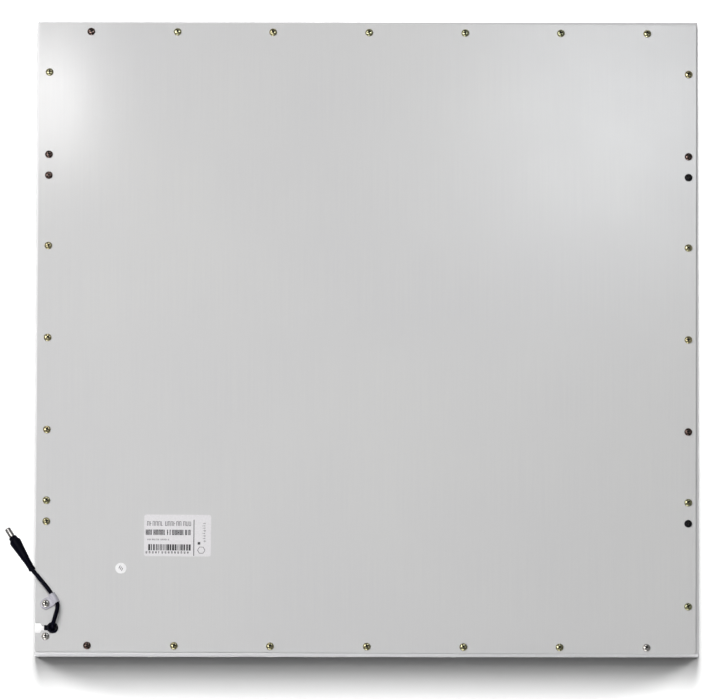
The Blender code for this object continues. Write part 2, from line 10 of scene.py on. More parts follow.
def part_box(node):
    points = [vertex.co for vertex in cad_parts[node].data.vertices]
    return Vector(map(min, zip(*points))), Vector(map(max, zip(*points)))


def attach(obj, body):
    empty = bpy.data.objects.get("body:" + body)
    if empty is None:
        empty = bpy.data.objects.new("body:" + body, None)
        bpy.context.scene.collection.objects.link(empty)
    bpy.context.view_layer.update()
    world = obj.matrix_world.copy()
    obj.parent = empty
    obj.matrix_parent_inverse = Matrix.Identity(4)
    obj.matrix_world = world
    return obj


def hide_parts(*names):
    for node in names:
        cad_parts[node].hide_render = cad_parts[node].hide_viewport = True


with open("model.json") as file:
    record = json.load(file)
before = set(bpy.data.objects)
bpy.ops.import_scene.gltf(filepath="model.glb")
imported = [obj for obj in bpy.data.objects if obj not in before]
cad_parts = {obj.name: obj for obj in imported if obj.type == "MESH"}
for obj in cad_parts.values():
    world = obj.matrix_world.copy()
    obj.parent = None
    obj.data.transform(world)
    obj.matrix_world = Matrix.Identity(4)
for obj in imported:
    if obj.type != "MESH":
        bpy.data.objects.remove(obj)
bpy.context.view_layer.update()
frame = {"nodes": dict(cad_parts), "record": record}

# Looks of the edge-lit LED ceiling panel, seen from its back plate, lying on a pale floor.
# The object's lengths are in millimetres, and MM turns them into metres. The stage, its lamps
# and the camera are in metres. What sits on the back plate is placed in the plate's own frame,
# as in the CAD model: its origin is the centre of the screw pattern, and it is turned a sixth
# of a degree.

MM = 0.001

PLATE_CENTRE = Vector((0.6, -1.8, 0.0))
PLATE_TURN = radians(-0.166)
PLATE_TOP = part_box("back_plate")[1].z / MM

HALF_SIDE = 297.5
BEZEL = (18.5, 1.2)             # width and thickness of the lip round the diffuser
WALLS = (1.3, 13.2, 14.5, 1.4)  # outer wall, end of the channel, inner wall, roof
FRAME_ROUND = 0.45
PLATE_THICK = 0.8
PLATE_BED = 0.02                # gap between the frame's top and the plate

HEAD_HEIGHT = 2.4
HEAD_DROP = 0.28                # lowers a head from its CAD clearance onto the plate
SAME_SPOT = 5.0                 # a screw this near to a listed place is that screw

# Places of the grommet, clip, plug and lead are in the plate's own frame.
GROMMET = Vector((-281.5, -272.5, 0.0))
CLIP_SCREW = Vector((-287.8, -250.5, 0.0))
CLIP_LOOP = Vector((-280.0, -246.0, 0.0))
CLIP_STRAP = 0.8
CLIP_BORE = 2.35
CLIP_HALF_WIDTH = 4.75

LEAD_DIAMETER = 3.8
LEAD_SAMPLES = 3                # drawn points for each stretch of the route
PLUG_TAIL = Vector((-299.9, -218.6, 11.6))
PLUG_DIRECTION = Vector((-0.485, 0.868, -0.182)).normalized()
LEAD_ROUTE = (                  # centre line: up out of the grommet, through the clip, to the plug
    (-281.5, -272.9, 8.2),
    (-281.5, -272.8, 9.6),
    (-281.5, -272.4, 10.9),
    (-281.35, -271.5, 12.7),
    (-281.0, -270.1, 14.2),
    (-280.5, -268.4, 15.2),
    (-279.95, -266.4, 15.8),
    (-279.3, -264.1, 16.0),
    (-278.6, -261.5, 15.8),
    (-277.9, -258.8, 15.4),
    (-277.3, -256.2, 14.9),
    (-277.0, -253.8, 14.4),
    (-277.1, -251.9, 14.0),
    (-277.65, -250.1, 13.6),
    (-278.75, -248.2, 13.4),
    (-280.0, -246.0, 13.35),
    (-281.25, -243.8, 13.35),
    (-282.5, -241.7, 13.3),
    (-284.1, -239.1, 13.2),
    (-286.0, -236.4, 13.1),
    (-288.0, -233.7, 13.0),
    (-290.1, -231.0, 12.9),
    (-292.3, -228.3, 12.75),
    (-294.5, -225.5, 12.6),
    (-296.6, -222.9, 12.35),
    (-298.5, -220.6, 12.0),
)

BLACK_SCREWS = ((288.0, 152.0), (288.0, -173.0))  # places, in the panel's frame

CENTRE = (0.0, 0.0, 0.0)
WHITE = (1.0, 1.0, 1.0)
WARM = (1.0, 0.99, 0.985)
COOL = (0.94, 0.975, 1.0)
ROOM_LIGHT = 0.06               # strength of the world's light; what the camera sees is 1.0
FLOOR_GREY = (0.3, 0.3, 0.3)
FLOOR_RADIUS = 3.0
FLOOR_FADE = (0.6, 1.2)         # distance from the middle where the glow starts, and is full
FLOOR_DROP = 0.00002            # keeps the floor just under the panel's face
LAMP_DISTANCE = 5.0
SWEEP_AIM = (0.0, -0.31, 0.0)
SWEEP_WIDTH = 2.6
SWEEP_STEPS = (                 # lowest and highest degrees above the floor, brightness
    (12.5, 16.5, 280.0),
    (16.5, 20.0, 168.0),
    (20.0, 26.0, 104.0),
    (26.0, 36.0, 44.0),
    (36.0, 56.0, 15.5),
    (56.0, 88.0, 4.2),
)
SIDE_SWEEP = (60.0, 5.5)        # degrees round from the back, and above the floor
SIDE_SWEEP_SIZE = (2.0, 0.3)
SIDE_SWEEP_WATTS = 2000.0

CAMERA_DISTANCE = 27.0
CAMERA_TILT = radians(17.38)    # off the plate's normal
CAMERA_ROLL = radians(0.07)
CAMERA_AIM = Vector((-4.3, -8.8, 0.0)) * MM
CAMERA_LENS = 1492.0            # focal length for a sensor 36 mm wide

LABEL_CENTRE = Vector((-169.9, -185.6, 0.0))  # it and the sticker's centre: in the plate's frame
LABEL_SIZE = (60.0, 39.0)
LABEL_TURN = radians(-0.2)
STICKER_CENTRE = Vector((-220.6, -216.4, 0.0))
STICKER_RADIUS = 5.0

PRINT_ROWS = (                  # ink, start, end, y, height, cell, gap, stroke, cells in a word
    ("dark", -27.4, 12.5, 11.1, 4.3, 1.9, 0.6, 0.46, 6),
    ("dark", -28.6, 13.7, 2.9, 5.0, 1.95, 0.35, 0.82, 8),
    ("grey", -27.0, -6.6, -3.9, 1.5, 0.9, 0.45, 0.34, 8),
    ("dark", -28.5, 10.4, -15.9, 2.1, 1.35, 1.5, 0.5, 20),
)


def on_plate():
    """Takes the plate's own frame to the panel's, both in millimetres."""
    return Matrix.Translation(PLATE_CENTRE) @ Matrix.Rotation(PLATE_TURN, 4, "Z")


# ---------------------------------------------------------------- materials

class Nodes:
    """A material's node tree, with short ways to add and join nodes."""

    def __init__(self, name):
        self.material = bpy.data.materials.new(name)
        self.material.use_nodes = True
        self.tree = self.material.node_tree
        self.shader = self.tree.nodes["Principled BSDF"]
        self.coords = self.add("ShaderNodeTexCoord").outputs["Object"]

    def add(self, kind, **values):
        node = self.tree.nodes.new(kind)
        for key, value in values.items():
            if hasattr(node, key):
                setattr(node, key, value)
            else:
                node.inputs[key].default_value = value
        return node

    def link(self, source, target):
        self.tree.links.new(source, target)

    def noise(self, scale, detail=2.0, stretch=(1.0, 1.0, 1.0)):
        """Value noise; scale is in cells per metre."""
        mapping = self.add("ShaderNodeMapping")
        mapping.inputs["Scale"].default_value = stretch
        self.link(self.coords, mapping.inputs["Vector"])
        node = self.add("ShaderNodeTexNoise", Scale=scale, Detail=detail)
        self.link(mapping.outputs["Vector"], node.inputs["Vector"])
        return node.outputs["Fac"]

    def ranged(self, source, low, high, start=0.35, end=0.65):
        node = self.add("ShaderNodeMapRange")
        for slot, value in zip(("From Min", "From Max", "To Min", "To Max"), (start, end, low, high)):
            node.inputs[slot].default_value = value
        self.link(source, node.inputs["Value"])
        return node.outputs["Result"]

    def blend(self, factor, first, second):
        node = self.add("ShaderNodeMix", data_type="RGBA")
        sockets = [slot for slot in node.inputs if slot.type == "RGBA"]
        sockets[0].default_value = (*first, 1.0)
        if isinstance(second, tuple):
            sockets[1].default_value = (*second, 1.0)
        else:
            self.link(second, sockets[1])
        self.link(factor, node.inputs["Factor"])
        return next(slot for slot in node.outputs if slot.type == "RGBA")

    def bump(self, *layers):
        """Chained bumps; each layer is (height output, strength, depth in millimetres)."""
        normal = None
        for height, strength, depth in layers:
            node = self.add("ShaderNodeBump", Strength=strength)
            node.inputs["Distance"].default_value = depth * MM
            self.link(height, node.inputs["Height"])
            if normal is not None:
                self.link(normal, node.inputs["Normal"])
            normal = node.outputs["Normal"]
        self.link(normal, self.shader.inputs["Normal"])

    def colour(self, output):
        self.link(output, self.shader.inputs["Base Color"])

    def roughness(self, output):
        self.link(output, self.shader.inputs["Roughness"])

    def fix(self, **values):
        for name, value in values.items():
            self.shader.inputs[name.replace("_", " ")].default_value = value


def shade(colour, factor):
    return tuple(channel * factor for channel in colour)


def coated(name, colour, roughness, peel=0.06, variation=0.03):
    """Painted sheet or extrusion: fine orange peel and slow colour drift."""
    nodes = Nodes(name)
    drift = nodes.ranged(nodes.noise(6.0, 3.0), 0.0, 1.0)
    nodes.colour(nodes.blend(drift, shade(colour, 1.0 - variation), shade(colour, 1.0 + variation)))
    nodes.roughness(nodes.ranged(nodes.noise(40.0, 4.0), roughness * 0.95, roughness * 1.05))
    nodes.bump((nodes.noise(900.0, 2.0), peel, 0.05))
    return nodes


def rolled_sheet_paint():
    """The back plate's thin satin paint: rolling streaks along Y show through it."""
    nodes = Nodes("plate_paint")
    streaks = nodes.ranged(nodes.noise(900.0, 3.0, (1.0, 0.012, 1.0)), 0.0, 1.0, 0.3, 0.7)
    drift = nodes.ranged(nodes.noise(5.0, 2.0), 0.0, 1.0)
    mix = nodes.add("ShaderNodeMath", operation="ADD")
    nodes.link(streaks, mix.inputs[0])
    nodes.link(drift, mix.inputs[1])
    total = nodes.ranged(mix.outputs["Value"], 0.0, 1.0, 0.0, 2.0)
    nodes.colour(nodes.blend(total, (0.545, 0.545, 0.552), (0.575, 0.575, 0.572)))
    nodes.roughness(nodes.ranged(nodes.noise(30.0, 3.0), 0.29, 0.31))
    nodes.bump((nodes.noise(1100.0, 2.0), 0.05, 0.04))
    nodes.fix(Specular_IOR_Level=0.35)
    return nodes


def plated(name, colour, tarnish, roughness, other=None):
    """Plated steel: each piece somewhere between two tones, tarnish in patches, turning marks."""
    nodes = Nodes(name)
    one_of_many = nodes.add("ShaderNodeObjectInfo").outputs["Random"]
    tone = nodes.blend(one_of_many, colour, other or colour)
    clean = nodes.ranged(nodes.noise(700.0, 4.0), 1.0, 0.0, 0.4, 0.62)
    nodes.colour(nodes.blend(clean, tarnish, tone))
    nodes.roughness(nodes.ranged(nodes.noise(1600.0, 3.0), roughness * 0.7, roughness * 1.4))
    nodes.bump((nodes.noise(4000.0, 2.0), 0.12, 0.03))
    nodes.fix(Metallic=1.0)
    return nodes


def moulded(name, colour, roughness, grain=1800.0, depth=0.05, variation=0.2):
    """Moulded rubber or plastic: fine spark-eroded grain and slightly uneven gloss."""
    nodes = Nodes(name)
    drift = nodes.ranged(nodes.noise(160.0, 3.0), 0.0, 1.0)
    nodes.colour(nodes.blend(drift, shade(colour, 1.0 - variation), shade(colour, 1.0 + variation)))
    nodes.roughness(nodes.ranged(nodes.noise(320.0, 3.0), roughness * 0.85, roughness * 1.15))
    nodes.bump((nodes.noise(grain, 2.0), 0.2, depth))
    return nodes


def black_moulding(name, roughness, gloss=0.03):
    """Moulded plastic or rubber that is nearly black and has little gloss."""
    nodes = moulded(name, (0.001, 0.001, 0.0045), roughness)
    nodes.fix(Specular_IOR_Level=gloss)
    return nodes


def paint_nodes(names, nodes):
    for name in names:
        shown = frame["nodes"][name]
        shown.data.materials.clear()
        shown.data.materials.append(nodes.material)


# ---------------------------------------------------------------- mesh helpers

def to_object(bm, name, nodes, angle=radians(30), matrix=None):
    """Turns a bmesh in millimetres into an object in metres that rides with the panel."""
    if matrix is not None:
        bmesh.ops.transform(bm, matrix=matrix, verts=bm.verts)
    bmesh.ops.recalc_face_normals(bm, faces=bm.faces)
    bmesh.ops.scale(bm, vec=(MM, MM, MM), verts=bm.verts)
    mesh = bpy.data.meshes.new(name)
    bm.to_mesh(mesh)
    bm.free()
    return show(mesh, name, nodes, angle)


def show(mesh, name, nodes, angle=radians(30)):
    mesh.shade_smooth()
    mesh.set_sharp_from_angle(angle=angle)
    if not mesh.materials:
        mesh.materials.append(nodes.material)
    made = bpy.data.objects.new(name, mesh)
    bpy.context.scene.collection.objects.link(made)
    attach(made, "root")
    return made


def arc(centre, radius, start, end, steps):
    turns = [start + (end - start) * step / steps for step in range(steps + 1)]
    return [(centre[0] + radius * cos(a), centre[1] + radius * sin(a)) for a in turns]


def filleted(points, radius, steps=4, closed=False):
    """Rounds the corners of an outline; straight-through points stay as they are."""
    result = []
    count = len(points)
    for index, point in enumerate(points):
        here = Vector(point)
        if not closed and index in (0, count - 1):
            result.append(tuple(here))
            continue
        before = Vector(points[index - 1]) - here
        after = Vector(points[(index + 1) % count]) - here
        reach = min(radius, before.length * 0.45, after.length * 0.45)
        if abs(before.normalized().cross(after.normalized())) < 0.08:
            result.append(tuple(here))
            continue
        start = here + before.normalized() * reach
        end = here + after.normalized() * reach
        for step in range(steps + 1):
            t = step / steps
            result.append(tuple((1 - t) ** 2 * start + 2 * t * (1 - t) * here + t ** 2 * end))
    return result


def prism(outline, low, high, holes=()):
    """Solid between two heights whose plan is the outline less the holes."""
    bm = bmesh.new()
    edges = []
    for loop in (outline, *holes):
        ring = [bm.verts.new((x, y, low)) for x, y in loop]
        edges += [bm.edges.new((a, b)) for a, b in zip(ring, ring[1:] + ring[:1])]
    bmesh.ops.triangle_fill(bm, use_beauty=True, use_dissolve=False, edges=edges)
    grown = bmesh.ops.extrude_face_region(bm, geom=list(bm.faces), use_keep_orig=True)
    lifted = [item for item in grown["geom"] if isinstance(item, bmesh.types.BMVert)]
    bmesh.ops.translate(bm, vec=(0.0, 0.0, high - low), verts=lifted)
    return bm


def turned(profile, sides):
    """Turns (radius, height) points round Z; a profile that leaves the axis is a closed ring."""
    bm = bmesh.new()
    rings = []
    for radius, height in profile:
        if radius < 1e-6:
            rings.append([bm.verts.new((0.0, 0.0, height))])
        else:
            angles = [2 * pi * step / sides for step in range(sides)]
            rings.append([bm.verts.new((radius * cos(a), radius * sin(a), height)) for a in angles])
    pairs = list(zip(rings, rings[1:]))
    if len(rings[0]) > 1:
        pairs.append((rings[-1], rings[0]))
    for lower, upper in pairs:
        for step in range(sides):
            after = (step + 1) % sides
            if len(lower) == 1:
                bm.faces.new((lower[0], upper[after], upper[step]))
            elif len(upper) == 1:
                bm.faces.new((lower[step], lower[after], upper[0]))
            else:
                bm.faces.new((lower[step], lower[after], upper[after], upper[step]))
    return bm


def loft(low_ring, high_ring, low, high):
    """Closed solid between two outlines that have the same number of points."""
    bm = bmesh.new()
    bottom = [bm.verts.new((x, y, low)) for x, y in low_ring]
    top = [bm.verts.new((x, y, high)) for x, y in high_ring]
    bm.faces.new(list(reversed(bottom)))
    bm.faces.new(top)
    for index in range(len(bottom)):
        after = (index + 1) % len(bottom)
        bm.faces.new((bottom[index], bottom[after], top[after], top[index]))
    return bm


def solid(bm, name):
    """A working object in millimetres, for modifiers; it is removed once it has been used."""
    bmesh.ops.recalc_face_normals(bm, faces=bm.faces)
    mesh = bpy.data.meshes.new(name)
    bm.to_mesh(mesh)
    bm.free()
    made = bpy.data.objects.new(name, mesh)
    bpy.context.scene.collection.objects.link(made)
    return made


def sculpt(blank, cuts=(), bevel=0.0, segments=2):
    """Applies Booleans, given as (operation, tool), then an optional bevel; returns a bmesh."""
    for operation, tool in cuts:
        boolean = blank.modifiers.new("cut", "BOOLEAN")
        boolean.operation = operation
        boolean.solver = "EXACT"
        boolean.object = tool
    if bevel:
        edge = blank.modifiers.new("bevel", "BEVEL")
        edge.width = bevel
        edge.segments = segments
        edge.limit_method = "ANGLE"
        edge.angle_limit = radians(40)
    evaluated = blank.evaluated_get(bpy.context.evaluated_depsgraph_get())
    bm = bmesh.new()
    bm.from_mesh(evaluated.to_mesh())
    evaluated.to_mesh_clear()
    for used in [blank] + [tool for _, tool in cuts]:
        bpy.data.objects.remove(used, do_unlink=True)
    return bm


def smooth_route(points, samples):
    """Catmull-Rom curve through the points."""
    knots = [Vector(point) for point in points]
    knots = [2 * knots[0] - knots[1]] + knots + [2 * knots[-1] - knots[-2]]
    curve = []
    for before, start, end, after in zip(knots, knots[1:], knots[2:], knots[3:]):
        for step in range(samples):
            t = step / samples
            curve.append(0.5 * (
                2 * start
                + (end - before) * t
                + (2 * before - 5 * start + 4 * end - after) * t ** 2
                + (3 * start - before - 3 * end + after) * t ** 3
            ))
    return curve + [knots[-2]]


# ---------------------------------------------------------------- screws

HEAD_PROFILE = (
    (1.45, 0.0), (3.1, 0.0), (3.45, 0.12), (3.5, 0.45), (3.42, 0.9), (3.12, 1.42),
    (2.6, 1.84), (1.95, 2.14), (1.2, 2.32), (0.5, 2.39), (0.0, HEAD_HEIGHT),
)


def screw_mesh():
    """Pan-head tapping screw: domed head, tapered cross recess, threaded shank."""
    thread = [(0.0, -6.0), (0.5, -5.4)]
    pitch = 0.8
    for turn in range(6):
        top = -5.2 + turn * pitch
        core = min(1.15, 0.7 + 0.12 * turn)
        crest = min(1.5, 1.0 + 0.14 * turn)
        thread += [(core, top), (crest, top + 0.25), (crest, top + 0.33), (core, top + 0.58)]
    blank = solid(turned(thread + list(HEAD_PROFILE), 40), "screw_blank")
    recess = solid(loft(cross(0.9, 0.12, 0.1), cross(2.25, 0.6, 0.45), 0.5, 2.6), "recess")
    pit = solid(turned(((0.0, 0.2), (0.5, 0.6), (1.2, 2.6), (0.0, 2.6)), 16), "pit")
    bm = sculpt(blank, (("DIFFERENCE", recess), ("DIFFERENCE", pit)))
    bmesh.ops.recalc_face_normals(bm, faces=bm.faces)
    # Faces sunk inside the cross recess get material 1, a near-black painted shade where shade falls.
    for face in bm.faces:
        centre = face.calc_center_median()
        radius = (centre.x ** 2 + centre.y ** 2) ** 0.5
        sunk = 0.3 < centre.z < dome_height(radius) - 0.06
        face.material_index = 1 if sunk and radius < 2.3 else 0
    bmesh.ops.scale(bm, vec=(MM, MM, MM), verts=bm.verts)
    mesh = bpy.data.meshes.new("screw")
    bm.to_mesh(mesh)
    bm.free()
    return mesh


def dome_height(radius):
    """Height of the screw head's outer surface at a radius from its axis."""
    dome = HEAD_PROFILE[3:]
    for outer, inner in zip(dome, dome[1:]):
        if inner[0] <= radius <= outer[0]:
            share = (outer[0] - radius) / (outer[0] - inner[0])
            return outer[1] + (inner[1] - outer[1]) * share
    return 0.0


def cross(arm, half_width, fillet):
    """Outline of a cross with rounded inner corners, anticlockwise."""
    quarter = [(arm, -half_width), (arm, half_width), (half_width + fillet, half_width)]
    quarter += [(half_width + fillet * 0.3, half_width + fillet * 0.3)]
    points = []
    for turn in range(4):
        c, s = round(cos(turn * pi / 2)), round(sin(turn * pi / 2))
        points += [(c * x - s * y, s * x + c * y) for x, y in quarter]
        x, y = half_width, half_width + fillet
        points.append((c * x - s * y, s * x + c * y))
    return points


def make_screws():
    finishes = {
        "screw_zinc": plated(
            "yellow_zinc_plate", (0.43, 0.45, 0.28), (0.23, 0.22, 0.12), 0.3, (0.5, 0.42, 0.25)
        ),
        "screw_bronze": plated("bronze_plate", (0.17, 0.115, 0.1), (0.02, 0.014, 0.013), 0.26),
        "screw_nickel": plated("nickel_plate", (0.55, 0.54, 0.52), (0.38, 0.36, 0.33), 0.34),
    }
    blackened = plated("black_oxide", (0.016, 0.016, 0.018), (0.01, 0.01, 0.012), 0.5)
    # Near-black painted shade for the inside of the cross recesses.
    recess_shade = moulded("recess_painted_shade", (0.014, 0.012, 0.009), 0.6, 2500.0, 0.04, 0.3)
    slots = {entry["node"]: entry["material_slot"] for entry in frame["record"]["subparts"]}
    shared = screw_mesh()
    random = Random(4)
    for name in sorted(frame["nodes"]):
        if not name.startswith("screw_"):
            continue
        low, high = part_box(name)
        slot = slots[name]
        centre = (low + high) / 2
        spot = Vector((centre.x, centre.y)) / MM
        odd_one = any((spot - Vector(place)).length < SAME_SPOT for place in BLACK_SCREWS)
        finish = blackened if odd_one else finishes[slot]
        mesh = shared.copy()
        mesh.materials.append(finish.material)
        mesh.materials.append(recess_shade.material)
        made = show(mesh, name + "_pan_head", finish, radians(28))
        seat = high.z / MM - HEAD_HEIGHT - HEAD_DROP
        made.matrix_world = (
            Matrix.Translation((centre.x, centre.y, seat * MM))
            @ Matrix.Rotation(random.uniform(0, pi / 2), 4, "Z")
        )
        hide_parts(name)


# ---------------------------------------------------------------- lead, plug, clip, grommet

def make_grommet(rubber):
    """A flanged ring in the plate's slot, with a tongue that closes the slot's open end."""
    low = PLATE_TOP
    ring = [
        (2.95, low - 1.75), (4.55, low - 1.75), (4.55, low - 1.1), (3.9, low - 1.1), (3.9, low + 0.05),
        (5.1, low + 0.05), (5.1, low + 1.25), (4.3, low + 1.95), (3.5, low + 1.95), (2.95, low + 1.5),
    ]
    body = solid(turned(filleted(ring, 0.45, closed=True), 64), "grommet_blank")
    reach = [(-7.5, -2.05), (-3.3, -2.05), (-3.3, 2.05), (-7.5, 2.05)]
    tongue = solid(prism(filleted(reach, 0.5, closed=True), low - 0.7, low + 0.95), "tongue")
    bm = sculpt(body, (("UNION", tongue),))
    matrix = on_plate() @ Matrix.Translation(GROMMET)
    made = to_object(bm, "grommet_moulding", rubber, radians(35), matrix)
    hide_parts("cable_grommet")


def make_clip():
    """Nylon strap folded round the lead: two tabs under the screw, one loop, softened edges."""
    reach = CLIP_LOOP - CLIP_SCREW
    loop = reach.length
    outer = CLIP_BORE + CLIP_STRAP
    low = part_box("p_clip")[0].z / MM
    centre = (loop, low + outer)
    lower_top, gap = low + CLIP_STRAP, 0.3
    upper_low, upper_top = lower_top + gap, lower_top + gap + CLIP_STRAP
    outer_angle = pi + asin((centre[1] - upper_top) / outer)
    inner_angle = pi + asin((centre[1] - upper_low) / CLIP_BORE)
    end = -CLIP_HALF_WIDTH
    section = [(end, low)] + arc(centre, outer, -pi / 2, outer_angle, 40)
    section += [(end, upper_top), (end, upper_low)]
    section += arc(centre, CLIP_BORE, inner_angle, -pi / 2, 40) + [(end, lower_top)]
    strap = prism(section, -CLIP_HALF_WIDTH, CLIP_HALF_WIDTH)
    stand = Matrix(((1, 0, 0, 0), (0, 0, -1, 0), (0, 1, 0, 0), (0, 0, 0, 1)))
    bmesh.ops.transform(strap, matrix=stand, verts=strap.verts)
    tip = arc((0.0, 0.0), CLIP_HALF_WIDTH, pi / 2, 3 * pi / 2, 32)
    plan = [(loop + 5.0, CLIP_HALF_WIDTH)] + tip + [(loop + 5.0, -CLIP_HALF_WIDTH)]
    hole = turned(((0.0, 5.0), (2.0, 5.0), (2.0, 14.0), (0.0, 14.0)), 32)
    cuts = (
        ("INTERSECT", solid(prism(plan, low - 1.0, centre[1] + outer + 1.0), "clip_plan")),
        ("DIFFERENCE", solid(hole, "clip_hole")),
    )
    bm = sculpt(solid(strap, "clip_blank"), cuts, bevel=0.12)
    nylon = moulded("natural_nylon", (0.58, 0.57, 0.64), 0.35, 1200.0, 0.05, 0.05)
    nylon.fix(Alpha=0.5)
    turn = Matrix.Rotation(atan2(reach.y, reach.x), 4, "Z")
    matrix = on_plate() @ Matrix.Translation(CLIP_SCREW) @ turn
    made = to_object(bm, "nylon_p_clip", nylon, radians(35), matrix)
    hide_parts("p_clip")


def plug_frame():
    """Takes the plug's own frame, with Z along its axis from the tail, to the panel's."""
    turn = PLUG_DIRECTION.to_track_quat("Z", "Y").to_matrix().to_4x4()
    return on_plate() @ Matrix.Translation(PLUG_TAIL) @ turn


def make_plug(black):
    """Moulded barrel plug: ribbed tail, tapered grip, nose collar and plated barrel."""
    tail_end, nose_end = 12.5, 37.5
    ribs = 5
    pitch = (tail_end - 1.9) / ribs
    tail = [(0.0, 0.0), (3.1, 0.0), (3.2, 1.35)]
    for number in range(ribs):
        start = 1.4 + number * pitch
        grown = 0.1 * number
        tail += [(2.3 + grown, start), (2.3 + grown, start + 0.75)]
        tail += [(2.9 + grown, start + 0.85), (2.95 + grown, start + pitch - 0.1)]
    tail += [(3.4, tail_end), (0.0, tail_end)]
    grip = [
        (0.0, tail_end + 0.05), (3.5, tail_end + 0.05), (3.9, 17.5), (4.6, 25.0), (5.15, 30.6),
        (5.2, 32.6), (4.5, 33.9), (3.8, 34.1), (3.8, nose_end - 0.3), (3.3, nose_end), (0.0, nose_end),
    ]
    barrel = [
        (2.1, nose_end + 0.1), (2.75, nose_end + 0.1), (2.75, 46.6),
        (2.55, 47.1), (2.2, 47.1), (2.1, 46.9),
    ]
    insulator = [(1.05, nose_end + 0.1), (2.05, nose_end + 0.1), (2.05, 46.7), (1.05, 46.7)]
    metal = plated("plated_barrel", (0.22, 0.215, 0.21), (0.16, 0.155, 0.15), 0.3)
    dark = moulded("insulator_plastic", (0.02, 0.02, 0.02), 0.5)
    made = {}
    for name, profile, nodes, slot, node in (
        ("plug_tail", filleted(tail, 0.28), black, "plug", "plug_strain_relief"),
        ("plug_grip", filleted(grip, 0.6), black, "plug", "plug_body"),
        ("plug_sleeve", filleted(barrel, 0.2, closed=True), metal, "barrel", "plug_barrel"),
        ("plug_insulation", insulator, dark, "insulator", "plug_insulator"),
    ):
        made[name] = to_object(turned(profile, 64), name, nodes, radians(35), plug_frame())
        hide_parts(node)
    return list(made.values())


def make_lead(plug):
    jacket = black_moulding("pvc_jacket", 0.4)
    end = PLUG_TAIL - PLUG_DIRECTION * 0.3
    route = smooth_route(LEAD_ROUTE + (tuple(end),), LEAD_SAMPLES)
    points = [on_plate() @ Vector(point) * MM for point in route]
    data = bpy.data.curves.new("lead", "CURVE")
    data.dimensions = "3D"
    data.bevel_depth = LEAD_DIAMETER / 2 * MM
    data.bevel_resolution = 8
    data.use_fill_caps = True
    spline = data.splines.new("POLY")
    spline.points.add(len(points) - 1)
    for slot, point in zip(spline.points, points):
        slot.co = (*point, 1.0)
    data.materials.append(jacket.material)
    lead = bpy.data.objects.new("lead", data)
    bpy.context.scene.collection.objects.link(lead)
    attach(lead, "root")
    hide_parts("dc_lead")


# ---------------------------------------------------------------- label and sticker

def box_mesh(bm, x, y, width, height, low, high):
    """Adds one flat printed bar, centred on x, y."""
    corners = [(x - width / 2, y - height / 2), (x + width / 2, y - height / 2)]
    corners += [(x + width / 2, y + height / 2), (x - width / 2, y + height / 2)]
    bottom = [bm.verts.new((*corner, low)) for corner in corners]
    top = [bm.verts.new((*corner, high)) for corner in corners]
    bm.faces.new(list(reversed(bottom)))
    bm.faces.new(top)
    for index in range(4):
        after = (index + 1) % 4
        bm.faces.new((bottom[index], bottom[after], top[after], top[index]))


def stroke_row(bm, random, start, end, y, height, cell, gap, stroke, word, low, high):
    """A row of meaningless upright strokes and crossbars, in place of a line of text."""
    x = start
    count = 0
    while x + cell <= end:
        box_mesh(bm, x + stroke / 2, y, stroke, height, low, high)
        if random.random() < 0.7:
            box_mesh(bm, x + cell - stroke / 2, y, stroke, height, low, high)
        level = random.choice((-0.5, 0.0, 0.5))
        bar = stroke * 0.8
        place = y + level * (height - bar)
        box_mesh(bm, x + cell / 2, place, cell - 2 * stroke, bar, low, high)
        count += 1
        x += cell + (gap * 3.0 if count % word == 0 else gap)


def make_paper(name, tone):
    paper = Nodes(name)
    fibre = paper.ranged(paper.noise(700.0, 4.0), 0.0, 1.0)
    paper.colour(paper.blend(fibre, shade(tone, 0.96), shade(tone, 1.04)))
    paper.roughness(paper.ranged(paper.noise(300.0, 3.0), 0.36, 0.48))
    paper.bump((paper.noise(1500.0, 2.0), 0.1, 0.03))
    return paper


